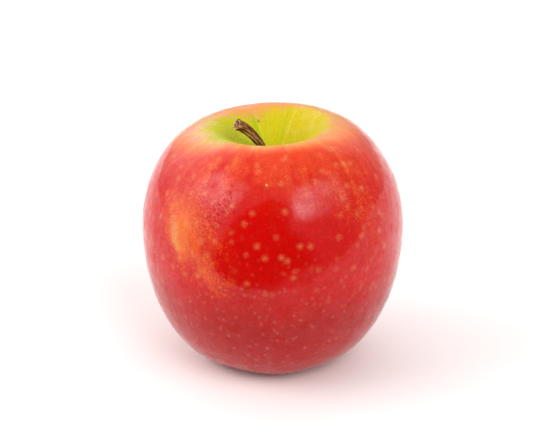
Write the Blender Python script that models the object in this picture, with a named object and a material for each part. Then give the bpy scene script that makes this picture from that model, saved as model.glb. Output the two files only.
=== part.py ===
"""A ripe apple: the fruit, its woody stem, the five dried calyx lobes and the dried stamens between them.

Metres, +Z up. The apple stands on z = 0 with its axis on the Z axis and its viewed side towards -Y.
"""

import math

import bmesh
import bpy
from mathutils import Vector

# ---------------------------------------------------------------- fruit
FRUIT_RADIUS = 0.038  # at the widest level
FRUIT_HEIGHT = 0.071  # crest of the shoulders above the table, all round on average
WIDEST_AT = 0.60  # level of the widest section, as a share of the height
MOUTH_AT = 0.46  # crest of the shoulders from the axis, as a share of the radius
FOOT_AT = 0.32  # lowest ring from the axis, as a share of the radius

# fullness of the curves, each as a share of the way to the corner they round
SHOULDER_TOP = 0.53
SHOULDER_SIDE = 0.50
FLANK_SIDE = 0.575
FLANK_FOOT = 0.57

CAVITY_DEPTH = 0.0140  # from the crest of the shoulders to the floor the stem grows from
CAVITY_FLARE = 0.25  # how far the crest stays level towards the axis
FUNNEL_OUT = 0.25  # the cavity wall leaves the floor this far outwards
FUNNEL_UP = 0.40  # and this far upwards, as shares of the way to the crest
BASIN_DEPTH = 0.0090  # from the lowest ring up to the floor the calyx grows from
BASIN_FLARE = 0.40  # how far the lowest ring stays level towards the axis
BASIN_ROUND = 0.30  # how far the basin floor rounds out towards the lowest ring
BASIN_FLOOR_AT = 0.13  # edge of the level basin floor, as a share of the radius

LOBES = 5
LOBE_TURN = math.radians(-86)  # heading of the middle of one lobe
LOBE_SWELL = 0.010  # how far a lobe stands out at the foot, as a share of its radius
LOBE_RISE = 0.0008  # how far the foot lifts between two lobes
LOBE_FADE = 16  # a higher power keeps the lobes nearer to the foot
MOUTH_STRETCH = 0.09  # the cavity mouth is this much of an oval
MOUTH_TURN = math.radians(122)  # heading of its long axis
SHOULDER_TILT = 0.0019  # one shoulder stands this much over the mean
TILT_TURN = math.radians(-12)  # heading of the high shoulder
CREST_FADE = 3  # a higher power keeps the oval and the tilt nearer to the top
SEAT_FADE = 4  # a higher number starts all of these closer to the stem and the calyx
FLAT_CUT = 0.00035  # worn off the lobes, which leaves the small flats it stands on

SEGMENTS = 80  # a multiple of the number of lobes
CAVITY_RINGS = 8
SHOULDER_RINGS = 9
FLANK_RINGS = 12
BASIN_RINGS = 9
FOOT_GATHER = 1.5  # a higher power crowds the rings nearer to the foot

# ---------------------------------------------------------------- fits
GAP = 0.0003  # left between any two pieces that touch

# ---------------------------------------------------------------- stem
STEM_RADIUS = 0.00105  # at its thinnest
STEM_BASE_RADIUS = 0.00130  # where it leaves the flesh
STEM_TIP_RADIUS = 0.00150  # at the knob it was picked by
STEM_SEAT = 0.0020  # how deep the stem stands in the flesh
STEM_RISE = 0.0153  # cut end above the cavity floor
STEM_LEAN = 0.0100  # cut end to the left of the axis
STEM_FORWARD = 0.0028  # cut end in front of the axis
STEM_BEND_LOW = (0.14, 0.0, 0.34)  # where the bend starts, as shares of lean, forward and rise
STEM_BEND_HIGH = (0.50, 0.08, 0.82)  # where it ends, the same way
STEM_FLARE = 3  # a higher power keeps the wide base shorter
STEM_KNOB = 5  # a higher power keeps the knob shorter
STEM_SIDES = 14
STEM_STEPS = 15

# ---------------------------------------------------------------- calyx
SEPAL_DROP = 0.0044  # tips below the roots
SEPAL_WIDTH = 0.0032
SEPAL_THICKNESS = 0.0005
SEPAL_ROOTS_AT = 0.82  # ring the lobes grow from, as a share of the basin floor
SEPAL_TIPS_AT = 0.26  # ring the tips close in to, the same way
SEPAL_BULGE = 0.0007  # the back of a lobe stands this much outside its chord
SEPAL_CLOSING = 1.6  # a higher power keeps a lobe upright for longer
SEPAL_TAPER = 1.8  # a higher power keeps it broad for longer
SEPAL_THINNING = 0.4  # share of the thickness lost at the tip
SEPAL_EDGE = 0.00012  # half the width left at the tip
SEPAL_CURL = 0.25  # how far the side edges turn in, as a share of the half width
SEPAL_STEPS = 8

STAMEN_RADIUS = 0.0009
STAMEN_LENGTH = 0.0030
STAMEN_TAPER = 0.45  # share of the radius lost at the end
STAMEN_SIDES = 12
STAMEN_STEPS = 6

# ---------------------------------------------------------------- colours (linear), roughness
SKIN = ((0.62, 0.045, 0.028, 1.0), 0.32)
BARK = ((0.17, 0.080, 0.035, 1.0), 0.75)
DRIED_LEAF = ((0.12, 0.075, 0.040, 1.0), 0.85)
DRIED_THREAD = ((0.070, 0.042, 0.025, 1.0), 0.90)


def clear_scene():
    for item in list(bpy.data.objects):
        bpy.data.objects.remove(item, do_unlink=True)


def make_material(name, look):
    colour, roughness = look
    material = bpy.data.materials.new(name)
    material.use_nodes = True
    surface = material.node_tree.nodes["Principled BSDF"]
    surface.inputs["Base Color"].default_value = colour
    surface.inputs["Roughness"].default_value = roughness
    surface.inputs["Metallic"].default_value = 0.0
    return material


def add_piece(name, rings, material):
    """Skin a closed body over a list of rings, with a cap over the first and the last."""
    mesh = bmesh.new()
    loops = [[mesh.verts.new(point) for point in ring] for ring in rings]
    count = len(loops[0])
    for lower, upper in zip(loops, loops[1:]):
        for i in range(count):
            j = (i + 1) % count
            mesh.faces.new((lower[i], lower[j], upper[j], upper[i]))
    mesh.faces.new(loops[0])
    mesh.faces.new(loops[-1])
    bmesh.ops.recalc_face_normals(mesh, faces=mesh.faces)
    if mesh.calc_volume(signed=True) < 0:
        bmesh.ops.reverse_faces(mesh, faces=mesh.faces)
    data = bpy.data.meshes.new(name)
    mesh.to_mesh(data)
    mesh.free()
    data.materials.append(material)
    piece = bpy.data.objects.new(name, data)
    bpy.context.scene.collection.objects.link(piece)
    return piece


def bezier(start, first, second, end, t):
    s = 1 - t
    return start * s**3 + first * 3 * s * s * t + second * 3 * s * t * t + end * t**3


# ---------------------------------------------------------------- fruit


def socket_radius():
    return STEM_BASE_RADIUS + GAP


def cavity_floor():
    return FRUIT_HEIGHT - CAVITY_DEPTH


def even_steps(count):
    return [i / count for i in range(1, count + 1)]


def basin_floor_radius():
    return FRUIT_RADIUS * BASIN_FLOOR_AT


def half_section():
    """Outline of half the fruit as (radius, height), from the stem socket over the shoulder to the basin floor."""
    widest = Vector((FRUIT_RADIUS, FRUIT_HEIGHT * WIDEST_AT))
    crest = Vector((FRUIT_RADIUS * MOUTH_AT, FRUIT_HEIGHT))
    foot = Vector((FRUIT_RADIUS * FOOT_AT, 0.0))
    floor = Vector((socket_radius(), cavity_floor()))
    basin = Vector((basin_floor_radius(), BASIN_DEPTH))
    funnel = crest - floor
    curves = (
        (
            (floor, floor + Vector((FUNNEL_OUT * funnel.x, FUNNEL_UP * funnel.y))),
            (crest - Vector((CAVITY_FLARE * funnel.x, 0.0)), crest),
            even_steps(CAVITY_RINGS),
        ),
        (
            (crest, Vector((crest.x + SHOULDER_TOP * (widest.x - crest.x), crest.y))),
            (Vector((widest.x, widest.y + SHOULDER_SIDE * (crest.y - widest.y))), widest),
            even_steps(SHOULDER_RINGS),
        ),
        (
            (widest, Vector((widest.x, widest.y * (1 - FLANK_SIDE)))),
            (Vector((foot.x + FLANK_FOOT * (widest.x - foot.x), 0.0)), foot),
            [1 - (1 - share) ** FOOT_GATHER for share in even_steps(FLANK_RINGS)],
        ),
        (
            (foot, Vector((foot.x - BASIN_FLARE * (foot.x - basin.x), 0.0))),
            (Vector((basin.x + BASIN_ROUND * (foot.x - basin.x), basin.y)), basin),
            [share**FOOT_GATHER for share in even_steps(BASIN_RINGS)],
        ),
    )
    outline = [floor]
    for (start, first), (second, end), shares in curves:
        outline += [bezier(start, first, second, end, share) for share in shares]
    return outline


def away_from(radius, seat):
    """0 on a seat, which stays round and level, rising to 1 a little way outside it."""
    return min(1.0, max(0.0, SEAT_FADE * (radius - seat) / (FRUIT_RADIUS - seat)))


def fruit_point(radius, height, heading):
    """Carry a point of the half section to a heading, with the lobes, the oval mouth and the tilted shoulders."""
    level = height / FRUIT_HEIGHT
    low = away_from(radius, basin_floor_radius()) * max(0.0, 1 - level) ** LOBE_FADE
    high = away_from(radius, socket_radius()) * level**CREST_FADE
    lobe = math.cos(LOBES * (heading - LOBE_TURN))
    oval = math.cos(2 * (heading - MOUTH_TURN))
    tilt = math.cos(heading - TILT_TURN)
    r = radius * (1 + low * LOBE_SWELL * lobe + high * MOUTH_STRETCH * oval)
    z = height + low * LOBE_RISE * (1 - lobe) / 2 + high * SHOULDER_TILT * tilt
    return Vector((r * math.cos(heading), r * math.sin(heading), max(z, FLAT_CUT) - FLAT_CUT))


def make_fruit(material):
    headings = [LOBE_TURN + 2 * math.pi * i / SEGMENTS for i in range(SEGMENTS)]
    rings = [[fruit_point(point.x, point.y, heading) for heading in headings] for point in half_section()]
    # the stem stands in a round socket with a level bottom
    bottom = [Vector((point.x, point.y, stem_foot() - GAP)) for point in rings[0]]
    return add_piece("fruit", [bottom] + rings, material)


# ---------------------------------------------------------------- stem


def stem_foot():
    return cavity_floor() - FLAT_CUT - STEM_SEAT


def stem_line():
    """Centre line of the stem: upright where it leaves the flesh, bending over to the left and forward."""
    start = Vector((0.0, 0.0, stem_foot() + STEM_SEAT))
    span = Vector((-STEM_LEAN, -STEM_FORWARD, STEM_RISE))
    first = start + span * Vector(STEM_BEND_LOW)
    second = start + span * Vector(STEM_BEND_HIGH)
    end = start + span
    line = [Vector((0.0, 0.0, stem_foot()))]
    line += [bezier(start, first, second, end, i / STEM_STEPS) for i in range(STEM_STEPS + 1)]
    return line


def stem_radius(t):
    """Radius along the stem: wide at the base, thin in the middle, a knob at the cut end."""
    base = (STEM_BASE_RADIUS - STEM_RADIUS) * (1 - t) ** STEM_FLARE
    knob = (STEM_TIP_RADIUS - STEM_RADIUS) * t**STEM_KNOB
    return STEM_RADIUS + base + knob


def ring_across(centre, along, side, radius, sides):
    up = along.cross(side)
    turn = 2 * math.pi / sides
    return [centre + (side * math.cos(i * turn) + up * math.sin(i * turn)) * radius for i in range(sides)]


def make_stem(material):
    line = stem_line()
    side = Vector((0.0, 1.0, 0.0))
    rings = []
    for i, centre in enumerate(line):
        before = line[max(i - 1, 0)]
        after = line[min(i + 1, len(line) - 1)]
        along = (after - before).normalized() if i > 1 else Vector((0.0, 0.0, 1.0))
        side = (side - along * side.dot(along)).normalized()
        radius = stem_radius(max(i - 1, 0) / STEM_STEPS)
        rings.append(ring_across(centre, along, side, radius, STEM_SIDES))
    return add_piece("stem", rings, material)


# ---------------------------------------------------------------- calyx


def calyx_roof():
    return BASIN_DEPTH - FLAT_CUT - GAP


def sepal_ring(t, heading):
    """One cross section of a dried lobe: a shallow lens, hanging from the basin floor and leaning to the axis."""
    out = Vector((math.cos(heading), math.sin(heading), 0.0))
    across = Vector((-out.y, out.x, 0.0))
    roots = basin_floor_radius() * SEPAL_ROOTS_AT
    tips = basin_floor_radius() * SEPAL_TIPS_AT
    reach = roots + (tips - roots) * t**SEPAL_CLOSING + SEPAL_BULGE * math.sin(math.pi * t)
    centre = out * reach + Vector((0.0, 0.0, calyx_roof() - SEPAL_DROP * t))
    half_width = SEPAL_WIDTH / 2 * (1 - t**SEPAL_TAPER) + SEPAL_EDGE
    half_thick = SEPAL_THICKNESS / 2 * (1 - SEPAL_THINNING * t)
    curl = half_width * SEPAL_CURL
    lens = ((-1.0, 0.0), (-0.5, 0.9), (0.5, 0.9), (1.0, 0.0), (0.5, -0.9), (-0.5, -0.9))
    return [centre + across * (a * half_width) + out * (b * half_thick - curl * a * a) for a, b in lens]


def make_sepal(number, material):
    heading = LOBE_TURN + 2 * math.pi * (number - 1) / LOBES
    rings = [sepal_ring(i / SEPAL_STEPS, heading) for i in range(SEPAL_STEPS + 1)]
    return add_piece(f"sepal_{number}", rings, material)


def make_stamens(material):
    rings = []
    for i in range(STAMEN_STEPS + 1):
        t = i / STAMEN_STEPS
        centre = Vector((0.0, 0.0, calyx_roof() - STAMEN_LENGTH * t))
        radius = STAMEN_RADIUS * (1 - STAMEN_TAPER * t * t)
        rings.append(ring_across(centre, Vector((0, 0, -1)), Vector((1, 0, 0)), radius, STAMEN_SIDES))
    return add_piece("stamen_tuft", rings, material)


def main():
    clear_scene()
    make_fruit(make_material("apple skin", SKIN))
    make_stem(make_material("stem bark", BARK))
    leaf = make_material("dried calyx", DRIED_LEAF)
    for number in range(1, LOBES + 1):
        make_sepal(number, leaf)
    make_stamens(make_material("dried stamens", DRIED_THREAD))


main()
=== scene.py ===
"""Ripe two-tone apple with a bent woody stem and a dried calyx, on a pale table in a soft light tent."""

import math

import bmesh
import bpy
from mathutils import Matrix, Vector, noise


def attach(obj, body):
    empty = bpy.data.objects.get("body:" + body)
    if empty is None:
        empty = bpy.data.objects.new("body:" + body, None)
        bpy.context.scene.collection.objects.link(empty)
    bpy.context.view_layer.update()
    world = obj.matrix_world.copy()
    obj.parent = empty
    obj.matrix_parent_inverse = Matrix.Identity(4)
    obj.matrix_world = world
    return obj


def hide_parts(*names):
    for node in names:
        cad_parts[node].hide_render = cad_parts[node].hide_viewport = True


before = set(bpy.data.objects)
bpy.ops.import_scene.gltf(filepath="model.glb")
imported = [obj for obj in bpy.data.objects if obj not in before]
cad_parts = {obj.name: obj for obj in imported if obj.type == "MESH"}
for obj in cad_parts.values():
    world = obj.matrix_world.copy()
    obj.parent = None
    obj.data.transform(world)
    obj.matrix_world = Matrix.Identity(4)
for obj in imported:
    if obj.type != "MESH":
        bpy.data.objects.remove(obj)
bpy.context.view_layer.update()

bl_info = {
    "name": "Apple Maker",
    "version": (1, 0, 0),
    "blender": (4, 5, 0),
    "location": "View3D > Sidebar > Apple",
    "description": "Makes a two-tone apple: skin, stem, dried calyx, and a table with soft light",
    "category": "Add Mesh",
}

MM = 0.001
TAU = math.tau
BODY = "root"

# The rule of the fruit's shape, the same as the solid's. Shares have no unit.
CAVITY_FLARE = 0.25
FUNNEL_OUT = 0.25
FUNNEL_UP = 0.40
SHOULDER_TOP = 0.53
SHOULDER_SIDE = 0.50
FLANK_SIDE = 0.575
FLANK_FOOT = 0.57
BASIN_FLARE = 0.40
BASIN_ROUND = 0.30
BASIN_FLOOR_AT = 0.13
LOBE_TURN = math.radians(-86)
LOBE_FADE = 16.0
MOUTH_TURN = math.radians(122)
TILT_TURN = math.radians(-12)
CREST_FADE = 3.0
SEAT_FADE = 4.0
SOCKET_RADIUS = 0.0016
FLAT_CUT = 0.00035
# Rings of faces in each stretch of the half section, and faces round the fruit.
SEGMENTS = 320
RINGS = {"socket": 5, "funnel": 50, "shoulder": 58, "flank": 72, "basin": 44, "pit": 14}
# Where each stretch lies on the flat map of the skin, from the stem to the calyx.
MAP_ENDS = (0.004, 0.02, 0.19, 0.45, 0.82, 0.965, 0.996)
MAP_WIDTH = 0.992

# The stem's path: start, two bends as shares of the span, and the span to its cut end.
STEM_FOOT_Z = 0.05465
STEM_START_Z = 0.05665
STEM_SPAN = Vector((-0.0100, -0.0028, 0.0153))
STEM_BEND_LOW = Vector((0.14, 0.0, 0.34))
STEM_BEND_HIGH = Vector((0.50, 0.08, 0.82))

# The stem's mesh, and the rings of its cut end: share of the radius, lift as a share of it, and mark.
STEM_SIDES = 56
STEM_RINGS = 96
FOOT_RINGS = 5
CUT_END = ((0.985, 0.06, 0.1), (0.93, 0.12, 0.3), (0.84, 0.15, 0.5), (0.74, 0.11, 0.62), (0.64, 0.03, 0.72),
           (0.54, -0.04, 0.80), (0.42, -0.06, 0.88), (0.28, -0.04, 0.95), (0.12, -0.03, 1.0))

# The calyx hangs from the roof of the basin.
ROOF_Z = 0.00835
ROOF_RADIUS = 0.00494
SEPALS = 5
STAMENS = 18
STAMEN_SEED = 7
GOLDEN_TURN = 2.39996

# Patches of the skin: heading in degrees, height, half length, half width, tilt in degrees, solid core.
PATCHES = {
    "back rim": (110, 0.0690, 0.0050, 0.0026, 0, 0.0),
    "thin blush": (-132, 0.0490, 0.0240, 0.0160, -55, 0.0),
    "core": (-131, 0.0470, 0.0150, 0.0070, -52, 0.0),
    "tail": (-117, 0.0370, 0.0110, 0.0055, -48, 0.0),
    "warm side": (-47, 0.0560, 0.0240, 0.0130, -60, 0.0),
    "heart": (-139, 0.0478, 0.0080, 0.0026, -62, 0.0),
    "pale back": (138, 0.0420, 0.0270, 0.0300, 17.19, 0.0),
    "scuffed": (-117, 0.0560, 0.0120, 0.0055, 48, 0.2),
}
# Single small marks: a patch, how much it covers, and the name of its colour.
MARKS = (
    ((-71, 0.0347, 0.0011, 0.0004, 45, 0.3), 0.4, "blush_dark"),
    ((-169, 0.0468, 0.0012, 0.0006, 70, 0.3), 0.5, "blush_dark"),
    ((108, 0.0673, 0.0006, 0.0005, 0, 0.3), 0.8, "russet"),
    ((-93, 0.0645, 0.0004, 0.0004, 0, 0.3), 0.5, "ground_pale"),
)
# Pores: size of the cell each one is scattered in, radius and softness.
BIG_PORES = (0.0040, 0.00046, 0.00108)
SMALL_PORES = (0.0022, 0.00030, 0.00055)

# Panels of the light tent: azimuth and height of the middle, half sizes and softness in degrees, strength.
PANELS = (
    ((-88.0, 24.0), (34.0, 22.0), 10.0, 1.5),
    ((-80.0, 36.0), (24.0, 10.0), 10.0, 4.5),
    ((44.0, 36.0), (32.0, 18.0), 9.0, 2.0),
    ((24.5, 34.5), (13.0, 14.0), 9.0, 4.5),
    ((17.5, 27.0), (4.0, 4.0), 8.0, 6.5),
    ((52.0, 42.0), (10.0, 8.0), 6.0, 2.0),
    ((-152.0, 28.0), (26.0, 14.0), 14.0, 1.9),
    ((155.0, 38.0), (26.0, 14.0), 14.0, 1.2),
)
# How dark the opening in front is to mirror-like rays, and how much less so to soft light.
OPENING_DARK = 0.985
OPENING_SOFT = 0.45
# Rows of the table from back to front, its columns, and the rounding of its front edge.
TABLE_ROWS = (1.5, 0.6, 0.2, 0.0)
TABLE_COLUMNS = (-0.8, -0.3, 0.0, 0.3, 0.8)
TABLE_ROLL = 0.02
TABLE_DROP = 0.06
CAMERA_SENSOR = 36.0
CAMERA_SHIFT = (0.0047, 0.0313)

FLOAT, VECTOR = "NodeSocketFloat", "NodeSocketVector"
SHAPE, WHOLE, FINISH = "NodeSocketGeometry", "NodeSocketInt", "NodeSocketMaterial"


# ---- node trees written as sums


class Value:
    """A socket of a node tree that can be used in ordinary sums."""

    def __init__(self, socket):
        self.socket = socket

    @property
    def tree(self):
        return self.socket.id_data

    def do(self, operation, *others, clamp=False):
        return calc(self.tree, operation, self, *others, clamp=clamp)

    def __add__(self, other):
        return self.do("ADD", other)

    def __sub__(self, other):
        return self.do("SUBTRACT", other)

    def __mul__(self, other):
        return self.do("MULTIPLY", other)

    def __truediv__(self, other):
        return self.do("DIVIDE", other)

    def __pow__(self, other):
        return self.do("POWER", other)

    def __rsub__(self, other):
        return calc(self.tree, "SUBTRACT", other, self)

    __radd__ = __add__
    __rmul__ = __mul__

    def clamp(self):
        return self.do("ADD", 0.0, clamp=True)


def feed(socket, value):
    """Links a Value or a node's first output to a socket, or sets it to a plain number, colour or name."""
    if isinstance(value, bpy.types.Node):
        value = Value(value.outputs[0])
    if isinstance(value, Value):
        socket.id_data.links.new(value.socket, socket)
    else:
        socket.default_value = value


def feed_all(node, inputs):
    """Feeds the inputs of a node by name or number."""
    for key, value in inputs.items():
        feed(node.inputs[key], value)


def add(tree, kind, inputs=None, **settings):
    """Adds a node with its settings and inputs."""
    made = tree.nodes.new(kind)
    for name, value in settings.items():
        setattr(made, name, value)
    feed_all(made, inputs or {})
    return made


def take(tree, kind, inputs=None, output=0, **settings):
    """Adds a node and returns one of its outputs."""
    return Value(add(tree, kind, inputs, **settings).outputs[output])


def calc(tree, operation, *values, clamp=False):
    """One sum of one or more numbers or Values."""
    return take(tree, "ShaderNodeMath", dict(enumerate(values)), operation=operation, use_clamp=clamp)


def ramp(value, low, high, start=0.0, end=1.0):
    """Goes softly from start, where value is low, to end, where value is high."""
    return take(value.tree, "ShaderNodeMapRange", {0: value, 1: low, 2: high, 3: start, 4: end},
                interpolation_type="SMOOTHSTEP")


def vector(tree, x, y, z):
    return take(tree, "ShaderNodeCombineXYZ", {0: x, 1: y, 2: z})


def parts_of(value):
    return [Value(out) for out in add(value.tree, "ShaderNodeSeparateXYZ", {0: value}).outputs]


def cloud(place, scale, detail=2.0, roughness=0.5, distortion=0.0):
    """Soft noise between about 0.2 and 0.8 at a place."""
    return take(place.tree, "ShaderNodeTexNoise", {
        "Vector": place, "Scale": scale, "Detail": detail, "Roughness": roughness, "Distortion": distortion})


def mix(share, first, second, blend="MIX"):
    """A colour between two colours."""
    tree = next(value.tree for value in (share, first, second) if isinstance(value, Value))
    return take(tree, "ShaderNodeMix", {0: share, 6: first, 7: second}, 2,
                data_type="RGBA", blend_type=blend, clamp_factor=True)


def new_group(name, kind, inputs, outputs):
    """Makes a node group with named sockets and returns it with its inputs as Values and its output node."""
    tree = bpy.data.node_groups.new(name, kind)
    sockets = {}
    for label, (socket_type, value) in inputs.items():
        made = tree.interface.new_socket(name=label, in_out="INPUT", socket_type=socket_type)
        if value is not None:
            made.default_value = value
        sockets[label] = made.identifier
    for label, socket_type in outputs.items():
        tree.interface.new_socket(name=label, in_out="OUTPUT", socket_type=socket_type)
    entry = tree.nodes.new("NodeGroupInput")
    values = {label: Value(entry.outputs[label]) for label in inputs}
    return tree, values, tree.nodes.new("NodeGroupOutput"), sockets


def place_group(tree, name, **inputs):
    """Places a shared group, built when first asked for, and returns its outputs by name."""
    made = tree.nodes.new("ShaderNodeGroup")
    made.node_tree = bpy.data.node_groups.get(name) or SHARED_GROUPS[name](name)
    feed_all(made, inputs)
    return {out.name: Value(out) for out in made.outputs}


# ---- effects shared by the finishes

def grain_group(name):
    """Fine uneven grain: a shade to multiply a colour by, and a height for bumps."""
    tree, given, out, _ = new_group(name, "ShaderNodeTree", {
        "Place": (VECTOR, None), "Scale": (FLOAT, 1000.0), "Contrast": (FLOAT, 0.2)},
        {"Shade": FLOAT, "Height": FLOAT})
    fine = cloud(given["Place"], given["Scale"], detail=3.0, roughness=0.6)
    broad = cloud(given["Place"], given["Scale"] * 0.35, detail=1.0)
    height = fine * 0.78 + broad * 0.22
    feed(out.inputs["Shade"], (height - 0.5) * 2.0 * given["Contrast"] + 1.0)
    feed(out.inputs["Height"], height)
    return tree


def streak_group(name):
    """Long thin streaks along the third axis of a place, coarse and fine ones."""
    tree, given, out, _ = new_group(name, "ShaderNodeTree", {
        "Place": (VECTOR, None), "Across": (FLOAT, 10.0), "Along": (FLOAT, 1.0)},
        {"Coarse": FLOAT, "Fine": FLOAT})
    x, y, z = parts_of(given["Place"])
    for label, finer in (("Coarse", 1.0), ("Fine", 3.1)):
        across, along = given["Across"] * finer, given["Along"] * finer
        place = vector(tree, x * across, y * across, z * along)
        feed(out.inputs[label], cloud(place, 1.0, detail=2.0, distortion=0.4))
    return tree


def patch_group(name):
    """A soft oval patch on the outside, given by heading, height, half sizes and tilt."""
    tree, given, out, _ = new_group(name, "ShaderNodeTree", {
        "Place": (VECTOR, None), "Heading": (FLOAT, 0.0), "Height": (FLOAT, 0.03), "Length": (FLOAT, 0.01),
        "Width": (FLOAT, 0.005), "Tilt": (FLOAT, 0.0), "Core": (FLOAT, 0.2), "Ragged": (FLOAT, 0.0)},
        {"Mask": FLOAT})
    x, y, z = parts_of(given["Place"])
    turn_cos, turn_sin = given["Heading"].do("COSINE"), given["Heading"].do("SINE")
    tilt_cos, tilt_sin = given["Tilt"].do("COSINE"), given["Tilt"].do("SINE")
    side = y * turn_cos - x * turn_sin
    front = x * turn_cos + y * turn_sin
    up = z - given["Height"]
    long_way = (side * tilt_cos + up * tilt_sin) / given["Length"]
    short_way = (up * tilt_cos - side * tilt_sin) / given["Width"]
    far = (long_way * long_way + short_way * short_way).do("SQRT") + given["Ragged"]
    facing = front.do("GREATER_THAN", 0.0)
    feed(out.inputs["Mask"], ramp(far, 1.0, given["Core"]) * facing)
    return tree


SHARED_GROUPS = {"Grain": grain_group, "Streaks": streak_group, "Patch": patch_group}


def blank_material(name):
    """A new material with an empty Principled shader, its node tree and its own object coordinates."""
    material = bpy.data.materials.new(name)
    material.use_nodes = True
    tree = material.node_tree
    tree.nodes.clear()
    shader = add(tree, "ShaderNodeBsdfPrincipled")
    add(tree, "ShaderNodeOutputMaterial", {0: shader})
    return material, tree, shader, take(tree, "ShaderNodeTexCoord", output="Object")


def bump(tree, height, distance, strength=1.0):
    return take(tree, "ShaderNodeBump", {"Height": height, "Distance": distance, "Strength": strength})


def stored(tree, name, output="Fac"):
    """A value kept on the mesh under a name."""
    return take(tree, "ShaderNodeAttribute", output=output, attribute_name=name)


def patch(place, spot, ragged=0.0):
    """The mask of one patch, given as in PATCHES."""
    heading, height, long_half, short_half, tilt, core = spot
    made = place_group(place.tree, "Patch", Place=place, Heading=math.radians(heading), Height=height,
                       Length=long_half, Width=short_half, Tilt=math.radians(tilt), Core=core, Ragged=ragged)
    return made["Mask"]


def shaded(colour, grain, share=1.0):
    """A colour multiplied by the shade of a grain."""
    shade = vector(grain["Shade"].tree, grain["Shade"], grain["Shade"], grain["Shade"])
    return mix(share, colour, shade, "MULTIPLY")


# ---- finishes


def dots(place, cell, radius, soft, squash=1.0):
    """Soft dots where scattered points lie close under the skin: a mask from 0 to 1."""
    tree = place.tree
    if squash != 1.0:
        x, y, z = parts_of(place)
        place = vector(tree, x, y, z * squash)
    near = take(tree, "ShaderNodeTexVoronoi", {"Vector": place, "Scale": 1.0 / cell, "Randomness": 1.0},
                "Distance", feature="F1", voronoi_dimensions="3D")
    ragged = (cloud(place, 1400.0, detail=2.0) - 0.5) * radius * 1.3
    return ramp(near * cell + ragged, radius + soft, radius - soft)


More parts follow.
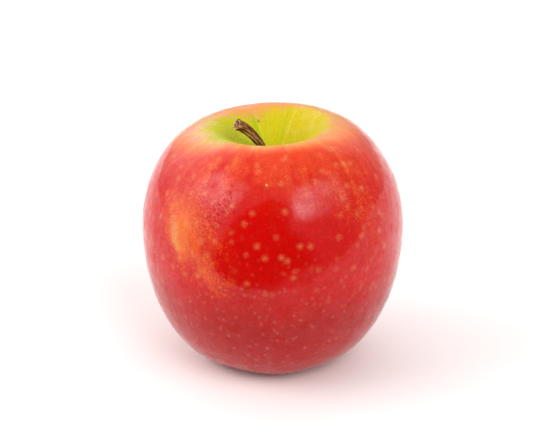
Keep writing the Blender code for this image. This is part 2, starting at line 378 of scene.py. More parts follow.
def skin_material(look):
    """Waxy skin: yellow-green ground under a streaky red blush, with pale pores and fine grain."""
    material, tree, shader, place = blank_material("apple_skin")
    x, y, z = parts_of(place)
    out_far = (x * x + y * y).do("SQRT").do("MAXIMUM", 1e-6)
    east, north = x / out_far, y / out_far
    along = stored(tree, "along")
    round_place = vector(tree, east, north, z * 10.0)
    grain = place_group(tree, "Grain", Place=place, Scale=2100.0, Contrast=0.60)
    speck = grain["Height"] - 0.5
    streaks = place_group(tree, "Streaks", Place=round_place, Across=9.0, Along=0.6)
    coarse, fine = streaks["Coarse"] - 0.5, streaks["Fine"] - 0.5
    broad = cloud(place, 60.0, detail=2.0) - 0.5
    mottle = cloud(place, 260.0, detail=3.0, roughness=0.6) - 0.5

    # Ground colour: green deep in the cavity and on its left, yellow on its right, peach on the shoulder.
    wide = place_group(tree, "Streaks", Place=round_place, Across=4.2, Along=0.35)
    furrow, thread = wide["Coarse"] - 0.5, wide["Fine"] - 0.5
    depth = ramp(along, 2.02, 1.35)
    left = ramp(east * -1.0, -0.2, 0.9)
    right = ramp(east, 0.2, 0.9)
    west = ramp(east * -1.0, 0.55, 1.0)
    front = ramp(north * -1.0, -0.6, 0.75)
    far_left = ramp(east * -0.42 + north * 0.91, 0.45, 1.0)
    green = (depth * 0.40 + left * 0.60 + furrow * 1.5 + thread * 0.5 + broad * 0.5 + 0.05).clamp()
    ground = mix(green, look.ground_yellow, look.ground_green)
    inside = ramp(along, 2.0, 1.8)
    ground = mix(ramp(furrow + thread * 0.5, 0.02, 0.26) * inside * 0.40, ground, look.ground_streak)
    ground = mix(ramp(thread + mottle * 0.5, 0.00, 0.30) * inside * 0.35, ground, look.ground_pale)
    glow = patch(place, PATCHES["back rim"], furrow * 1.4 + thread * 1.6 + mottle)
    ground = mix(glow * 0.60, ground, look.ground_peach)
    edge = furrow * 0.6 + thread * 1.3 + fine * 0.7 + broad * 0.5
    shift = far_left * 0.13 + front * 0.05 + right * 0.03 - west * 0.18
    peach = ramp(along + edge * 0.22 + shift, 1.84, 2.12)
    rosy = (ramp(along, 1.9, 2.2) * 0.5 + thread * 2.2 + fine * 1.2 + mottle * 0.8).clamp()
    ground = mix(peach * 0.95, ground, mix(rosy, look.ground_peach, look.ground_rose))
    ground = mix(ramp(along, 2.3, 2.7) * 0.80, ground, look.ground_yellow)

    # Where the blush starts: past the rim, sooner in front than on the left and behind.
    start = 1.92 + west * 0.16 + right * 0.04
    full = 2.17 + (1.0 - front) * 0.26 + left * 0.05 + west * 0.18 + right * 0.12
    reach = along + coarse * 0.07 + fine * 0.12 + thread * 0.03 + broad * 0.12
    blush = ramp((reach - start) / (full - start), 0.0, 1.0)

    # Where it is thin: an orange patch with a paler heart and a tail, a warmer side, and a patch behind.
    thin = patch(place, PATCHES["thin blush"], fine * 0.3 + mottle * 0.9 + broad * 0.8)
    core = patch(place, PATCHES["core"], fine * 0.9 + mottle * 3.4 + broad * 0.8 + speck * 2.0)
    tail = patch(place, PATCHES["tail"], mottle * 1.2 + broad * 0.8)
    warm = patch(place, PATCHES["warm side"], mottle * 0.9 + broad * 1.2)
    thin = (thin + tail * 0.40).clamp()
    heart = patch(place, PATCHES["heart"], mottle * 1.6 + broad)
    pale_back = patch(place, PATCHES["pale back"], coarse * 0.3 + fine * 0.2 + broad * 1.6 + mottle * 0.5)
    blush = (blush * (1.0 - core * 0.38) * (1.0 - pale_back * 0.46) + speck * 0.3).clamp()

    # The blush itself: orange high up, red round the middle, crimson low down, with streaks and grain.
    upper_streaks = ramp(along, 2.80, 2.10) * (thread + coarse * 1.1 + fine + mottle * 1.6)
    high = ramp(z + broad * 0.012 + upper_streaks * 0.014, 0.0565, 0.070)
    low = ramp(z + broad * 0.012, 0.040, 0.020)
    red = mix(low, mix(high, look.blush_red, look.blush_orange), look.blush_crimson)
    grainy = speck * 2.0 + mottle * 0.6 + fine * 0.25
    uneven = grainy * 0.62 + mottle * thin
    orange = (uneven + upper_streaks + thin * 1.05 + warm * 0.52 - 0.16).clamp()
    pale_orange = (uneven + upper_streaks * 1.1 + thin * 0.72 + warm * 0.26 - 0.25).clamp()
    red = mix(pale_orange, mix(orange, red, look.blush_orange), look.blush_thin)
    colour = mix(ramp(blush, 0.0, 0.62), ground, look.blush_thin)
    colour = mix(ramp(blush + grainy * 0.22, 0.36, 1.0), colour, red)
    colour = mix((heart * (grain["Height"] * 0.7 + 0.30)).clamp(), colour, look.ground_peach)

    # Brown russet round the calyx.
    rust = (ramp(along, 4.55, 5.0) * 0.6 + coarse * 0.8 * ramp(along, 4.2, 4.9)).clamp()
    colour = mix(rust, colour, look.russet)

    # Pores: large pale dots above, small flat ones below.
    big = dots(place, *BIG_PORES)
    small = dots(place, *SMALL_PORES, squash=0.9)
    upper = ramp(z, 0.026, 0.038)
    outside = ramp(along, 2.0, 2.3)
    loose = (mottle * 1.5 + 1.0) * (grain["Height"] * 0.9 + 0.55)
    pale = (big * upper * outside * loose * 0.42).clamp()
    faint = (small * (ramp(z, 0.050, 0.030) * 0.44 + outside * 0.08) * loose).clamp()
    colour = mix(pale, mix(faint, colour, look.pore_low), look.pore)
    pores = (pale + faint).clamp()
    for spot, share, tone in MARKS:
        colour = mix(patch(place, spot) * share, colour, getattr(look, tone))

    # Fine dull scuffs on the left of the front, where the wax is worn off.
    scuffed = patch(place, PATCHES["scuffed"], mottle * 1.2)
    slanted = vector(tree, (x + z) * 1.7, y * 1.2, (z - x) * 0.6)
    nick = ramp(cloud(slanted, 800.0, detail=3.0, roughness=0.7, distortion=0.6), 0.53, 0.575) * scuffed
    colour = mix(nick * 0.75, colour, look.blush_dark)

    # Wax: a clear coat, uneven in thickness, over flesh that hardly shines.
    gloss = ramp(along, 1.88, 2.25) * 0.76 + 0.10
    wax = gloss + speck * 1.8 + fine * 0.5 + mottle * 1.6 - pores * 0.28 - nick
    peel = cloud(place, 620.0, detail=2.0, roughness=0.6)
    height = grain["Height"] + peel * 1.8 + mottle * 2.2 + fine * 1.1 + thread * 0.8 + pores * 0.2
    feed_all(shader, {
        "Base Color": shaded(colour, grain, outside * 0.75 + 0.25), "Normal": bump(tree, height, 0.00012),
        "Roughness": speck * 0.2 + 0.30 + pores * 0.1, "IOR": 1.45, "Specular IOR Level": 0.03,
        "Coat Weight": wax.clamp(), "Coat Roughness": 0.08, "Coat IOR": 1.37})
    return material


def bark_material(look):
    """Dry brown bark with grooves along it painted dark as shade, paler worn ridges with a painted highlight
    on them, and painted shade in the hollow of its cut end.
    """
    material, tree, shader, _ = blank_material("stem_bark")
    straight, tip, ridge = stored(tree, "unbent", "Vector"), stored(tree, "cut"), stored(tree, "ridge")
    grain = place_group(tree, "Grain", Place=straight, Scale=3500.0, Contrast=0.45)
    streaks = place_group(tree, "Streaks", Place=straight, Across=1900.0, Along=420.0)
    # Painted shade: the bark turns to the dark groove colour where the ridge value is low, in the grooves of
    # the stem.
    worn = (ridge + (streaks["Coarse"] - 0.5) * 3.0 + 0.25).clamp()
    colour = mix(worn, look.bark_dark_and_groove_shade, look.bark)
    # Painted highlight: the raised ridges are paler, over bark that is also worn paler there.
    pale = ramp(ridge + (streaks["Coarse"] - 0.5) * 2.4 + (streaks["Fine"] - 0.5) * 1.6, 0.50, 1.35)
    colour = mix(pale, colour, look.bark_pale_and_ridge_highlight)
    rim = ramp(tip, 0.08, 0.30) * ramp(tip, 0.70, 0.58) * ramp(cloud(straight, 700.0), 0.38, 0.52)
    colour = mix(rim * 0.85, colour, look.bark_pale_and_ridge_highlight)
    # Painted shade: the inner slope of the hollow in the cut end is darkened, where its raised rim would
    # shade it.
    hollow = ramp(tip, 0.62, 0.74) * ramp(tip, 0.96, 0.86) * ramp(cloud(straight, 900.0), 0.60, 0.44)
    colour = mix(hollow * 0.85, colour, look.bark_dark_and_groove_shade)
    height = streaks["Coarse"] * 0.5 + streaks["Fine"] * 0.35 + grain["Height"] * 0.3
    feed_all(shader, {
        "Base Color": shaded(colour, grain), "Roughness": 0.85 - pale * 0.25, "Specular IOR Level": 0.15,
        "Normal": bump(tree, height, 0.00018, 0.7)})
    return material


def dried_material(name, look, tone, across):
    """Dry brown plant stuff: fibres along the piece, dusty grain and paler fine fibres."""
    material, tree, shader, place = blank_material(name)
    straight = stored(tree, "unbent", "Vector")
    grain = place_group(tree, "Grain", Place=place, Scale=3200.0, Contrast=0.5)
    fibres = place_group(tree, "Streaks", Place=straight, Across=across, Along=across * 0.12)
    colour = mix((fibres["Coarse"] * 1.4 - 0.3).clamp(), look.bark_dark_and_groove_shade, tone)
    colour = mix(ramp(fibres["Fine"], 0.55, 0.75) * 0.5, colour, look.bark_pale_and_ridge_highlight)
    height = fibres["Coarse"] * 0.6 + grain["Height"] * 0.4
    feed_all(shader, {
        "Base Color": shaded(colour, grain), "Roughness": 0.8 + (grain["Height"] - 0.5) * 0.2,
        "Specular IOR Level": 0.25, "Normal": bump(tree, height, 0.00012, 0.7)})
    return material


# ---- the fruit


def bezier(share, points):
    """One coordinate of a cubic curve through a share of its length in parameter."""
    rest = 1.0 - share
    start, leave, arrive, end = points
    return (rest * rest * rest * start + rest * rest * share * 3.0 * leave
            + rest * share * share * 3.0 * arrive + share * share * share * end)


def stretches(radius, height, widest, mouth, foot, cavity, basin):
    """The half section from the socket to the pit under the calyx, as (radius, height) curves."""
    floor_r, floor_z = SOCKET_RADIUS, height - cavity
    crest_r = radius * mouth
    funnel_r, funnel_z = crest_r - floor_r, height - floor_z
    wide_z = height * widest
    foot_r = radius * foot
    roof_r = radius * BASIN_FLOOR_AT
    basin_r = foot_r - roof_r
    sink = floor_z - 1.0 * MM
    return {
        "socket": ((0.0, 0.3 * MM, 0.9 * MM, floor_r), (sink, sink, sink + 0.1 * MM, floor_z)),
        "funnel": ((floor_r, floor_r + funnel_r * FUNNEL_OUT, crest_r - funnel_r * CAVITY_FLARE, crest_r),
                   (floor_z, floor_z + funnel_z * FUNNEL_UP, height, height)),
        "shoulder": ((crest_r, crest_r + (radius - crest_r) * SHOULDER_TOP, radius, radius),
                     (height, height, wide_z + (height - wide_z) * SHOULDER_SIDE, wide_z)),
        "flank": ((radius, radius, foot_r + (radius - foot_r) * FLANK_FOOT, foot_r),
                  (wide_z, wide_z * (1.0 - FLANK_SIDE), 0.0, 0.0)),
        "basin": ((foot_r, foot_r - basin_r * BASIN_FLARE, roof_r + basin_r * BASIN_ROUND, roof_r),
                  (0.0, 0.0, basin, basin)),
        "pit": ((roof_r, roof_r * 0.6, 1.1 * MM, 0.0),
                (basin, basin - 0.2 * MM, basin, basin + 2.2 * MM)),
    }


def finish_tree(tree, out, made, material):
    """Ends a geometry tree: instances made real, and one material on them."""
    real = add(tree, "GeometryNodeRealizeInstances", {"Geometry": made})
    clad = add(tree, "GeometryNodeSetMaterial", {"Geometry": real, "Material": material})
    feed(out.inputs["Geometry"], clad)


def kept_on(tree, mesh, name, value, kind, domain="POINT"):
    """Keeps a value on the mesh under a name."""
    return add(tree, "GeometryNodeStoreNamedAttribute", {"Geometry": mesh, "Name": name, "Value": value},
               data_type=kind, domain=domain)


def fruit_tree(numbers):
    """Geometry nodes that turn the half section round the core and swell the lobes."""
    tree, given, out, sockets = new_group("Fruit body", "GeometryNodeTree", {
        "Geometry": (SHAPE, None), **{label: (FLOAT, value) for label, value in numbers.items()},
        "Skin": (FINISH, None)}, {"Geometry": SHAPE})
    radius, tall = given["Radius"], given["Height"]
    curves = stretches(radius, tall, given["Widest At"], given["Mouth"], given["Foot"],
                       given["Cavity Depth"], given["Basin Depth"])
    joined = tree.nodes.new("GeometryNodeJoinGeometry")
    roof_r = radius * BASIN_FLOOR_AT
    for number, (name, (outs, ups)) in enumerate(curves.items()):
        grid = add(tree, "GeometryNodeMeshGrid", {
            "Size X": 1.0, "Size Y": 1.0, "Vertices X": SEGMENTS + 1, "Vertices Y": RINGS[name] + 1})
        spot = parts_of(take(tree, "GeometryNodeInputPosition"))
        heading, share = spot[0] * TAU - TAU / 4.0, spot[1] + 0.5
        flat, level = bezier(share, outs), bezier(share, ups)
        lobe = ((heading - LOBE_TURN) * given["Lobes"]).do("COSINE")
        oval = ((heading - MOUTH_TURN) * 2.0).do("COSINE")
        tilt = (heading - TILT_TURN).do("COSINE")
        from_roof = (((flat - roof_r) / (radius - roof_r)) * SEAT_FADE).clamp()
        from_socket = (((flat - SOCKET_RADIUS) / (radius - SOCKET_RADIUS)) * SEAT_FADE).clamp()
        low = from_roof * (1.0 - level / tall).clamp() ** LOBE_FADE
        high = from_socket * (level / tall) ** CREST_FADE
        far = flat * (low * given["Lobe Swell"] * lobe + high * given["Mouth Stretch"] * oval + 1.0)
        rise = level + low * given["Lobe Rise"] * (1.0 - lobe) * 0.5 + high * given["Shoulder Tilt"] * tilt
        rise = rise.do("MAXIMUM", FLAT_CUT) - FLAT_CUT
        place = vector(tree, far * heading.do("COSINE"), far * heading.do("SINE"), rise)
        where = share * (MAP_ENDS[number + 1] - MAP_ENDS[number]) + MAP_ENDS[number]
        marked = kept_on(tree, grid, "along", share + float(number), "FLOAT")
        flat_map = vector(tree, spot[0] * MAP_WIDTH + 0.5, where, 0.0)
        mapped = kept_on(tree, marked, "OFBake", flat_map, "FLOAT2", "CORNER")
        feed(joined.inputs[0], add(tree, "GeometryNodeSetPosition", {"Geometry": mapped, "Position": place}))
    merged = add(tree, "GeometryNodeMergeByDistance", {"Geometry": joined, "Distance": 1e-6})

    # Natural unevenness: broad dents and small ripples outside, fine ribs running down into the cavity.
    spot = take(tree, "GeometryNodeInputPosition")
    x, y, z = parts_of(spot)
    out_far = (x * x + y * y).do("SQRT").do("MAXIMUM", 1e-5)
    normal = parts_of(take(tree, "GeometryNodeInputNormal"))
    dents = cloud(spot, 42.0, detail=1.5) - 0.5
    ribs = cloud(vector(tree, x / out_far, y / out_far, z * 6.0), 7.0, detail=2.0) - 0.5
    steady = ramp(z, 0.006, 0.020)
    near_mouth = ramp(out_far, 0.002, 0.008) * ramp(out_far, 0.026, 0.016) * ramp(z, 0.045, 0.058)
    ripples = cloud(spot, 260.0, detail=1.0) - 0.5
    away = steady * ramp(out_far, 0.004, 0.012)
    push = away * (dents * given["Unevenness"] + ripples * given["Rippling"])
    push = push + near_mouth * ribs * given["Ribbing"]
    offset = vector(tree, *(way * push for way in normal))
    moved = add(tree, "GeometryNodeSetPosition", {"Geometry": merged, "Offset": offset})
    smooth = add(tree, "GeometryNodeSetShadeSmooth", {"Geometry": moved})
    finish_tree(tree, out, smooth, given["Skin"])
    return tree, sockets


def placed(name, data):
    """A new object in the scene."""
    made = bpy.data.objects.new(name, data)
    bpy.context.scene.collection.objects.link(made)
    return made


def grown(name, tree, sockets, values):
    """Runs a geometry node tree on an empty object and keeps the result as its plain mesh."""
    piece = placed(name, bpy.data.meshes.new(name))
    modifier = piece.modifiers.new(name, "NODES")
    modifier.node_group = tree
    for label, value in values.items():
        modifier[sockets[label]] = value
    bpy.context.view_layer.update()
    graph = bpy.context.evaluated_depsgraph_get()
    mesh = bpy.data.meshes.new_from_object(piece.evaluated_get(graph), preserve_all_data_layers=True,
                                           depsgraph=graph)
    if not mesh.polygons:
        raise RuntimeError(f"{name} came out empty")
    piece.modifiers.clear()
    piece.data = mesh
    mesh.name = name
    return piece


def keep(piece, node):
    """Puts a finished piece in the place of its CAD node."""
    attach(piece, BODY)
    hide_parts(node)


def hand_over(name, shape, material):
    """Turns a bmesh into an object with one material and smooth faces."""
    mesh = bpy.data.meshes.new(name)
    shape.to_mesh(mesh)
    shape.free()
    mesh.polygons.foreach_set("use_smooth", [True] * len(mesh.polygons))
    mesh.materials.append(material)
    return placed(name, mesh)


# ---- the stem


def stem_path(share):
    """A point of the stem's middle line: straight out of its socket, then over to one side."""
    start = Vector((0.0, 0.0, STEM_START_Z))
    rest = 1.0 - share
    low = start + Vector(a * b for a, b in zip(STEM_SPAN, STEM_BEND_LOW))
    high = start + Vector(a * b for a, b in zip(STEM_SPAN, STEM_BEND_HIGH))
    end = start + STEM_SPAN
    return rest ** 3 * start + 3 * rest ** 2 * share * low + 3 * rest * share ** 2 * high + share ** 3 * end


def stem_shape(sizes):
    """Rings along the stem with ridges and knobs, and a worn cut end with a raised rim."""
    shape = bmesh.new()
    unbent = shape.verts.layers.float_vector.new("unbent")
    cut = shape.verts.layers.float.new("cut")
    ridge = shape.verts.layers.float.new("ridge")
    step = 1e-3
    side = Vector((0.0, 1.0, 0.0))
    rows = []

    def ring(middle, way, share, scale=1.0, lift=0.0, mark=0.0):
        across = way.cross(side).normalized()
        other = way.cross(across).normalized()
        base = (sizes.radius + (sizes.base_radius - sizes.radius) * (1 - share) ** 3
                + (sizes.tip_radius - sizes.radius) * share ** 5)
        row = []
        for number in range(STEM_SIDES):
            turn = TAU * number / STEM_SIDES
            edge = Vector((math.cos(turn), math.sin(turn), 0.0))
            seed = edge * 1.9 + Vector((0.0, 0.0, share * 3.2))
            twist = Vector((math.cos(turn + share * 0.9), math.sin(turn + share * 0.9), 0.0))
            groove = noise.noise(twist * 2.7 + Vector((3.0, 1.0, share * 2.6)))
            knob = noise.noise(seed)
            level = 1.08 + 0.20 * groove + 0.15 * knob + 0.06 * noise.noise(seed * 6.5)
            size = base * level * scale
            vert = shape.verts.new(middle + across * (edge.x * size) + other * (edge.y * size)
                                   + way * (lift * (1.0 + 0.6 * knob)))
            vert[unbent] = edge * size + Vector((0.0, 0.0, share * STEM_SPAN.length * 1.1))
            vert[cut] = mark
            vert[ridge] = groove * 1.4 + knob * 0.5 + 0.4
            row.append(vert)
        rows.append(row)

    up = Vector((0.0, 0.0, 1.0))
    for number in range(FOOT_RINGS):
        ring(Vector((0.0, 0.0, STEM_FOOT_Z + (STEM_START_Z - STEM_FOOT_Z) * number / FOOT_RINGS)), up, 0.0)
    for number in range(STEM_RINGS + 1):
        share = number / STEM_RINGS
        way = (stem_path(min(share + step, 1.0)) - stem_path(max(share - step, 0.0))).normalized()
        ring(stem_path(share), way, share)
    end, way = stem_path(1.0), (stem_path(1.0) - stem_path(1.0 - step)).normalized()
    for scale, lift, mark in CUT_END:
        ring(end, way, 1.0, scale, lift * sizes.tip_radius, mark)
    for lower, upper in zip(rows, rows[1:]):
        for number in range(STEM_SIDES):
            after = (number + 1) % STEM_SIDES
            shape.faces.new((lower[number], lower[after], upper[after], upper[number]))
    for row, mark in ((rows[0], 0.0), (rows[-1], 1.0)):
        centre = shape.verts.new(sum((v.co for v in row), Vector()) / STEM_SIDES)
        centre[unbent], centre[cut], centre[ridge] = row[0][unbent] * 0.0, mark, 0.3
        for number in range(STEM_SIDES):
            shape.faces.new((row[number], row[(number + 1) % STEM_SIDES], centre))
    bmesh.ops.recalc_face_normals(shape, faces=shape.faces)
    return shape


# ---- the calyx


def sepal_shape(sizes, number):
    """One dried blade: rooted at the roof of the basin, leaning inwards, cupped, curled and crinkled."""
    shape = bmesh.new()
    unbent = shape.verts.layers.float_vector.new("unbent")
    heading = LOBE_TURN + TAU * (number - 1) / SEPALS
    outward = Vector((math.cos(heading), math.sin(heading), 0.0))
    sideways = Vector((-math.sin(heading), math.cos(heading), 0.0))
    across, down = 14, 26
    root, tip = ROOF_RADIUS * 0.80, ROOF_RADIUS * 0.26
    seed = Vector((number * 3.7, number * 1.3, 0.0))
    layers = []
    for face in (1.0, -1.0):
        rows = []
        for j in range(down + 1):
            v = j / down
            waist = 0.86 + 0.14 * math.sin(v * 9.0 + number)
            half = sizes.sepal_width * 0.5 * (1.0 - v ** 1.7) * waist + 0.06 * MM
            away = root + (tip - root) * v ** 1.5 + 0.55 * MM * math.sin(math.pi * v) - 0.35 * MM * v ** 6
            level = ROOF_Z + 0.25 * MM - (sizes.sepal_drop + 0.1 * MM) * v
            thick = 0.16 * MM * (1.0 - 0.6 * v)
            row = []
            for i in range(across + 1):
                u = 2.0 * i / across - 1.0
                spot = seed + Vector((u * 1.1, v * 3.1, 0.0))
                crinkle = 0.22 * MM * noise.noise(spot * 1.7) + 0.10 * MM * noise.noise(spot * 5.0)
                vein = 0.06 * MM * math.exp(-(u * 4.5) ** 2) + 0.02 * MM * math.cos(u * 16.0)
                cup = -0.38 * MM * u * u * (0.4 + v)
                ragged = 1.0 + 0.10 * noise.noise(spot * 4.0 + Vector((9.0, 0.0, 0.0))) * abs(u)
                off = away + cup + crinkle + vein + face * thick * (1.0 - 0.75 * u ** 4)
                flat = outward * off + sideways * (u * half * ragged)
                vert = shape.verts.new(flat + Vector((0.0, 0.0, level)))
                vert[unbent] = Vector((u * half, face * thick, v * sizes.sepal_drop))
                row.append(vert)
            rows.append(row)
        layers.append(rows)
    outer, inner = layers
    for rows, turned in ((outer, False), (inner, True)):
        for j in range(down):
            for i in range(across):
                quad = (rows[j][i], rows[j][i + 1], rows[j + 1][i + 1], rows[j + 1][i])
                shape.faces.new(quad[::-1] if turned else quad)
    border = [(0, i) for i in range(across)] + [(j, across) for j in range(down)]
    border += [(down, i) for i in range(across, 0, -1)] + [(j, 0) for j in range(down, 0, -1)]
    for (j, i), (k, l) in zip(border, border[1:] + border[:1]):
        shape.faces.new((outer[k][l], outer[j][i], inner[j][i], inner[k][l]))
    bmesh.ops.recalc_face_normals(shape, faces=shape.faces)
    return shape


def stamen_tree():
    """Geometry nodes for the tuft: scattered thin bent threads, each with a small shrivelled head."""
    tree, given, out, sockets = new_group("Stamen tuft", "GeometryNodeTree", {
        "Geometry": (SHAPE, None), "Tuft Radius": (FLOAT, 0.0009), "Thread Length": (FLOAT, 0.0030),
        "Thread Radius": (FLOAT, 0.00006), "Threads": (WHOLE, STAMENS), "Roof": (FLOAT, ROOF_Z),
        "Seed": (WHOLE, STAMEN_SEED), "Thread": (FINISH, None)}, {"Geometry": SHAPE})
    order = take(tree, "GeometryNodeInputIndex")
    golden = order * GOLDEN_TURN
    spread = ((order + 0.5) / given["Threads"]).do("SQRT") * given["Tuft Radius"]
    start = vector(tree, spread * golden.do("COSINE"), spread * golden.do("SINE"), given["Roof"] + 0.0008)
    points = add(tree, "GeometryNodePoints", {"Count": given["Threads"], "Position": start})

    length = given["Thread Length"]
    path = add(tree, "GeometryNodeCurvePrimitiveBezierSegment", {
        "Resolution": 9, "Start": (0.0, 0.0, 0.0),
        "Start Handle": vector(tree, 0.0, 0.0, length * -0.4),
        "End Handle": vector(tree, length * 0.16, length * 0.03, length * -0.75),
        "End": vector(tree, length * 0.12, length * 0.12, length * -1.2)}, mode="POSITION")
    share = take(tree, "GeometryNodeSplineParameter", output="Factor")
    head = ramp(share, 0.80, 0.90) * 1.7 * ramp(share, 1.08, 0.96)
    section = add(tree, "GeometryNodeCurvePrimitiveCircle", {
        "Resolution": 7, "Radius": given["Thread Radius"]})
    thread = add(tree, "GeometryNodeCurveToMesh", {
        "Curve": path, "Profile Curve": section, "Scale": 1.0 - share * 0.35 + head, "Fill Caps": True})
    marked = kept_on(tree, thread, "unbent", take(tree, "GeometryNodeInputPosition"), "FLOAT_VECTOR")
    # A random node has its vector range in inputs 0 and 1, and its plain range in inputs 2 and 3.
    lean = add(tree, "FunctionNodeRandomValue", {
        0: (-0.20, -0.20, 0.0), 1: (0.20, 0.20, TAU), "Seed": given["Seed"]}, data_type="FLOAT_VECTOR")
    scale = take(tree, "FunctionNodeRandomValue", {2: 0.72, 3: 1.05, "Seed": given["Seed"] + 1}, 1,
                 data_type="FLOAT")
    spread_out = add(tree, "GeometryNodeInstanceOnPoints", {
        "Points": points, "Instance": marked, "Rotation": lean, "Scale": vector(tree, scale, scale, scale)})
    finish_tree(tree, out, spread_out, given["Thread"])
    return tree, sockets


# ---- the stage


def floor_shape(stage):
    """A pale table top that reaches far back and to the sides, with its front edge rolled down."""
    shape = bmesh.new()
    wide, roll = stage.table_reach, TABLE_ROLL
    turn_at = roll - stage.table_front
    line = [(y, 0.0) for y in (wide, *TABLE_ROWS, turn_at)]
    line += [(turn_at - roll * math.sin(a), roll * math.cos(a) - roll)
             for a in (math.radians(15 * k) for k in range(1, 7))]
    line += [(-stage.table_front, -TABLE_DROP)]
    sides = [-wide, *TABLE_COLUMNS, wide]
    grid = [[shape.verts.new((across, y, z)) for across in sides] for y, z in line]
    for front, back in zip(grid, grid[1:]):
        for number in range(len(sides) - 1):
            shape.faces.new((front[number], back[number], back[number + 1], front[number + 1]))
    bmesh.ops.recalc_face_normals(shape, faces=shape.faces)
    if shape.faces[0].normal.z < 0:
        bmesh.ops.reverse_faces(shape, faces=shape.faces)
    return shape


def table_material(look):
    """Plain pale table top, barely uneven."""
    material, tree, shader, place = blank_material("table_white")
    grain = place_group(tree, "Grain", Place=place, Scale=300.0, Contrast=0.01)
    feed_all(shader, {
        "Base Color": shaded(look.table_white, grain), "Roughness": 0.75, "Specular IOR Level": 0.1})
    return material


def soft_box(azimuth, height, centre, half, soft, strength):
    """One lit panel of the tent, in degrees of azimuth and height, with soft edges."""
    wide = ramp((azimuth - centre[0]).do("ABSOLUTE"), half[0] + soft, half[0] - soft)
    tall = ramp((height - centre[1]).do("ABSOLUTE"), half[1] + soft, half[1] - soft)
    return wide * tall * strength


def light_tent(stage):
    """A white tent round the table: soft panels left, right and above, and a dark opening in front."""
    world = bpy.data.worlds.new("light_tent")
    world.use_nodes = True
    tree = world.node_tree
    tree.nodes.clear()
    way = take(tree, "ShaderNodeTexCoord", output="Generated")
    x, y, z = parts_of(way)
    azimuth = calc(tree, "ARCTAN2", x, y * -1.0) * math.degrees(1.0)
    height = z.do("ARCSINE") * math.degrees(1.0)
    wave = (cloud(way, 3.0, detail=1.0) - 0.5) * 14.0
    light = ramp(height, -20.0, 60.0, 0.75, 1.05)
    light = light * ramp((azimuth - 90.0).do("ABSOLUTE"), 60.0, 25.0, 1.0, 0.8)
    for panel in PANELS:
        light = light + soft_box(azimuth, height, *panel)

    # The opening: its left, right, upper and lower edges.
    lean = ramp(height, 14.0, 40.0, 0.0, 9.0)
    left_side = ramp(azimuth + wave * 0.3 - lean, ramp(height, -25.0, 40.0, -62.0, -46.0),
                     ramp(height, -25.0, 40.0, -50.0, -40.0))
    right_side = ramp(azimuth + wave * 0.4 + ramp(height, -30.0, 28.0, -14.0, 16.0), 30.0, 13.0)
    top_side = ramp(height + wave * 0.3 + (azimuth + 18.0).do("ABSOLUTE") * 0.35, 43.0, 38.0)
    low_side = ramp(height + wave * 0.3 - azimuth.do("MAXIMUM", 0.0) * 0.25, -37.0, -31.0)
    opening = left_side * right_side * top_side * low_side
    ray = add(tree, "ShaderNodeLightPath")
    seen, scattered = Value(ray.outputs["Is Camera Ray"]), Value(ray.outputs["Is Diffuse Ray"])
    light = light * (1.0 - opening * (OPENING_DARK - scattered * OPENING_SOFT))

    # The camera itself looks past the tent at plain white.
    tent = add(tree, "ShaderNodeBackground", {
        "Color": stage.light_colour, "Strength": light * stage.light_strength})
    plain = add(tree, "ShaderNodeBackground", {"Color": (1.0, 1.0, 1.0, 1.0), "Strength": 1.0})
    both = add(tree, "ShaderNodeMixShader", {0: seen, 1: tent, 2: plain})
    add(tree, "ShaderNodeOutputWorld", {0: both})
    return world


# ---- sizes and colours a maker may change


def length(name, description, default):
    """A size in metres, shown in the scene's own unit."""
    return bpy.props.FloatProperty(name=name, description=description, default=default, min=0.0, precision=5,
                                   subtype="DISTANCE", unit="LENGTH")


def share_of(name, description, default):
    """A share from 0 to 1."""
    return bpy.props.FloatProperty(name=name, description=description, default=default, min=0.0, max=1.0,
                                   subtype="FACTOR")


def colour_of(name, description, default):
    """A colour of a finish."""
    return bpy.props.FloatVectorProperty(name=name, description=description, default=(*default, 1.0), size=4,
                                         min=0.0, max=1.0, subtype="COLOR")


def labelled(settings):
    """The numbers of a group of settings by the names a maker sees."""
    properties = settings.bl_rna.properties
    return {properties[key].name: float(getattr(settings, key)) for key in settings.__annotations__}


class AppleFruitSizes(bpy.types.PropertyGroup):
    """Sizes of the fruit's body. Their names are the names of the inputs of its geometry nodes."""

    radius: length("Radius", "Half the width of the fruit before its lobes", 0.038)
    height: length("Height", "From the table to the crest round the stem", 0.071)
    widest: share_of("Widest At", "Share of the height where the fruit is widest", 0.60)
    mouth: share_of("Mouth", "Radius of the crest as a share of the radius", 0.46)
    foot: share_of("Foot", "Radius of the ring it stands on as a share of the radius", 0.32)
    cavity_depth: length("Cavity Depth", "Depth of the hollow round the stem", 0.0140)
    basin_depth: length("Basin Depth", "Depth of the hollow round the calyx", 0.0090)
    lobes: bpy.props.IntProperty(name="Lobes", description="Number of lobes at the foot", default=5,
                                 min=3, max=8)
    lobe_swell: share_of("Lobe Swell", "How far a lobe swells outwards", 0.010)
    lobe_rise: length("Lobe Rise", "How far the skin rises between lobes at the foot", 0.0008)
    mouth_stretch: share_of("Mouth Stretch", "How oval the crest is", 0.09)
    shoulder_tilt: length("Shoulder Tilt", "How much higher one shoulder is", 0.0019)
    unevenness: length("Unevenness", "Depth of the broad natural dents", 0.00050)
    ribbing: length("Ribbing", "Depth of the fine ribs in the cavity", 0.00012)
    rippling: length("Rippling", "Depth of the small ripples of the skin", 0.00010)


class AppleStemSizes(bpy.types.PropertyGroup):
    """Sizes of the stem and the calyx."""

    radius: length("Stem Radius", "Radius of the stem in its middle", 0.00114)
    base_radius: length("Stem Base Radius", "Radius where it leaves the fruit", 0.00130)
    tip_radius: length("Stem Tip Radius", "Radius of its flared cut end", 0.00150)
    sepal_width: length("Sepal Width", "Width of a dried sepal at its root", 0.0032)
    sepal_drop: length("Sepal Drop", "How far a sepal hangs down", 0.0044)
    tuft_radius: length("Tuft Radius", "Radius of the tuft of stamens", 0.0009)
    tuft_length: length("Tuft Length", "Length of the stamens", 0.0030)
    thread_radius: length("Thread Radius", "Radius of one stamen", 0.00007)


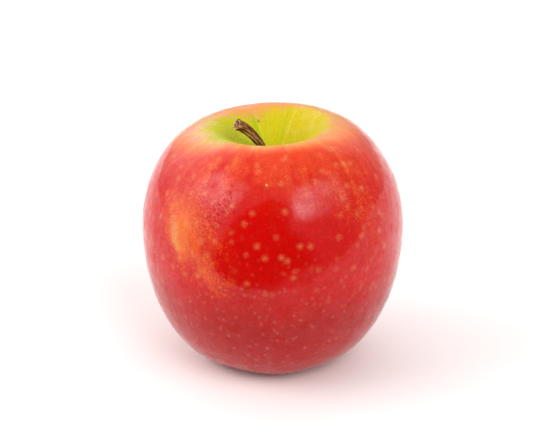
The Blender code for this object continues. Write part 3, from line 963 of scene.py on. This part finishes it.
class AppleLook(bpy.types.PropertyGroup):
    """Colours of the apple and the table."""

    ground_green: colour_of("Ground Green", "Skin deep in the stem cavity", (0.45, 0.49, 0.005))
    ground_yellow: colour_of("Ground Yellow", "Skin without any blush", (0.62, 0.46, 0.006))
    ground_streak: colour_of("Ground Streak", "Dark green streaks in the cavity", (0.25, 0.31, 0.004))
    ground_pale: colour_of("Ground Pale", "Pale streaks in the cavity", (0.74, 0.66, 0.13))
    ground_peach: colour_of("Ground Peach", "Skin round the rim of the cavity", (0.72, 0.29, 0.085))
    ground_rose: colour_of("Ground Rose", "Pink streaks round the rim of the cavity", (0.80, 0.27, 0.16))
    blush_thin: colour_of("Blush Thin", "Blush where it is thin over the yellow", (0.84, 0.175, 0.026))
    blush_orange: colour_of("Blush Orange", "Blush on the shoulders", (0.70, 0.042, 0.008))
    blush_red: colour_of("Blush Red", "Blush round the middle", (0.60, 0.0015, 0.0012))
    blush_crimson: colour_of("Blush Crimson", "Blush low down", (0.40, 0.003, 0.003))
    blush_dark: colour_of("Blush Dark", "Small scuffs in the blush", (0.34, 0.002, 0.002))
    pore: colour_of("Pores", "Pale dots in the upper skin", (0.80, 0.33, 0.13))
    pore_low: colour_of("Low Pores", "Faint dots in the lower skin", (0.66, 0.15, 0.10))
    russet: colour_of("Russet", "Corky brown skin at the calyx", (0.30, 0.17, 0.06))
    bark: colour_of("Bark", "Stem", (0.255, 0.098, 0.028))
    # Bark Dark is also painted shade, in the stem's grooves and in the hollow of its cut end.
    bark_dark_and_groove_shade: colour_of("Bark Dark", "Grooves of the stem", (0.032, 0.011, 0.004))
    # Bark Pale is also a painted highlight on the stem's raised ridges; on the cut end and the dried fibres
    # it is their own colour.
    bark_pale_and_ridge_highlight: colour_of("Bark Pale", "Worn ridges and the cut end", (0.62, 0.38, 0.17))
    leaf: colour_of("Dried Leaf", "Dried sepals", (0.15, 0.085, 0.040))
    thread: colour_of("Dried Thread", "Dried stamens", (0.085, 0.048, 0.026))
    table_white: colour_of("Table", "Table top", (0.98, 0.945, 0.935))


class AppleStage(bpy.types.PropertyGroup):
    """Table, light and camera."""

    table_reach: length("Table Reach", "How far the table goes back and to the sides", 4.0)
    table_front: length("Table Front", "How far in front of the core the table ends", 0.10)
    light_strength: bpy.props.FloatProperty(name="Light Strength", description="Brightness of the tent",
                                            default=0.735, min=0.0)
    light_colour: colour_of("Light Colour", "Colour of the tent's light", (1.0, 1.0, 1.0))
    camera_elevation: bpy.props.FloatProperty(name="Camera Elevation", description="Angle looked down from",
                                              default=math.radians(23.0), subtype="ANGLE", unit="ROTATION")
    camera_distance: length("Camera Distance", "From the camera to the middle of the fruit", 0.70)
    camera_aim: length("Camera Aim", "Height of the point looked at", 0.036)
    lens: bpy.props.FloatProperty(name="Lens", description="Focal length", default=157.7,
                                  subtype="DISTANCE_CAMERA")


# ---- operators


class APPLE_OT_fruit(bpy.types.Operator):
    """Make the fruit's body with its skin"""

    bl_idname = "apple.fruit"
    bl_label = "Make Fruit"

    def execute(self, context):
        numbers = labelled(context.scene.apple_fruit)
        tree, sockets = fruit_tree(numbers)
        skin = skin_material(context.scene.apple_look)
        keep(grown("apple_skin_body", tree, sockets, {**numbers, "Skin": skin}), "fruit")
        return {"FINISHED"}


class APPLE_OT_stem(bpy.types.Operator):
    """Make the woody stem"""

    bl_idname = "apple.stem"
    bl_label = "Make Stem"

    def execute(self, context):
        material = bark_material(context.scene.apple_look)
        keep(hand_over("woody_stem", stem_shape(context.scene.apple_stem), material), "stem")
        return {"FINISHED"}


class APPLE_OT_sepals(bpy.types.Operator):
    """Make the five dried sepals"""

    bl_idname = "apple.sepals"
    bl_label = "Make Sepals"

    def execute(self, context):
        look = context.scene.apple_look
        material = dried_material("dried_sepal", look, look.leaf, 2600.0)
        for number in range(1, SEPALS + 1):
            shape = sepal_shape(context.scene.apple_stem, number)
            keep(hand_over(f"dried_sepal_{number}", shape, material), f"sepal_{number}")
        return {"FINISHED"}


class APPLE_OT_stamens(bpy.types.Operator):
    """Make the tuft of dried stamens"""

    bl_idname = "apple.stamens"
    bl_label = "Make Stamens"

    def execute(self, context):
        sizes, look = context.scene.apple_stem, context.scene.apple_look
        tree, sockets = stamen_tree()
        material = dried_material("dried_stamen", look, look.thread, 6000.0)
        piece = grown("dried_stamens", tree, sockets, {
            "Tuft Radius": sizes.tuft_radius, "Thread Length": sizes.tuft_length,
            "Thread Radius": sizes.thread_radius, "Threads": STAMENS, "Roof": ROOF_Z, "Seed": STAMEN_SEED,
            "Thread": material})
        keep(piece, "stamen_tuft")
        return {"FINISHED"}


class APPLE_OT_stage(bpy.types.Operator):
    """Make the table, the light tent and the camera"""

    bl_idname = "apple.stage"
    bl_label = "Make Stage"

    def execute(self, context):
        scene, stage = context.scene, context.scene.apple_stage
        table = hand_over("table_top", floor_shape(stage), table_material(scene.apple_look))
        scene.world = light_tent(stage)
        scene.view_settings.view_transform = "Standard"
        lens = bpy.data.cameras.new("camera")
        lens.sensor_width = CAMERA_SENSOR
        lens.lens = stage.lens
        lens.shift_x, lens.shift_y = CAMERA_SHIFT
        camera = placed("camera", lens)
        tilt = stage.camera_elevation
        away = Vector((0.0, -math.cos(tilt), math.sin(tilt))) * stage.camera_distance
        camera.location = Vector((0.0, 0.0, stage.camera_aim)) + away
        camera.rotation_euler = (math.pi / 2 - tilt, 0.0, 0.0)
        scene.camera = camera
        return {"FINISHED"}


class APPLE_PT_panel(bpy.types.Panel):
    """Sizes, colours and makers of the apple"""

    bl_idname = "APPLE_PT_panel"
    bl_label = "Apple"
    bl_space_type = "VIEW_3D"
    bl_region_type = "UI"
    bl_category = "Apple"

    def draw(self, context):
        layout = self.layout
        for group in GROUPS:
            settings = getattr(context.scene, group)
            box = layout.box()
            for name in settings.__annotations__:
                box.prop(settings, name)
        for operator in OPERATORS:
            layout.operator(operator.bl_idname)


GROUPS = {"apple_fruit": AppleFruitSizes, "apple_stem": AppleStemSizes, "apple_look": AppleLook,
          "apple_stage": AppleStage}
OPERATORS = (APPLE_OT_fruit, APPLE_OT_stem, APPLE_OT_sepals, APPLE_OT_stamens, APPLE_OT_stage)


def register():
    for made in (*GROUPS.values(), *OPERATORS, APPLE_PT_panel):
        bpy.utils.register_class(made)
    for name, group in GROUPS.items():
        setattr(bpy.types.Scene, name, bpy.props.PointerProperty(type=group))


def unregister():
    for name in GROUPS:
        delattr(bpy.types.Scene, name)
    for made in (APPLE_PT_panel, *reversed(OPERATORS), *reversed(GROUPS.values())):
        bpy.utils.unregister_class(made)


def main():
    register()
    bpy.ops.apple.fruit()
    bpy.ops.apple.stem()
    bpy.ops.apple.sepals()
    bpy.ops.apple.stamens()
    bpy.ops.apple.stage()


if __name__ == "__main__":
    main()
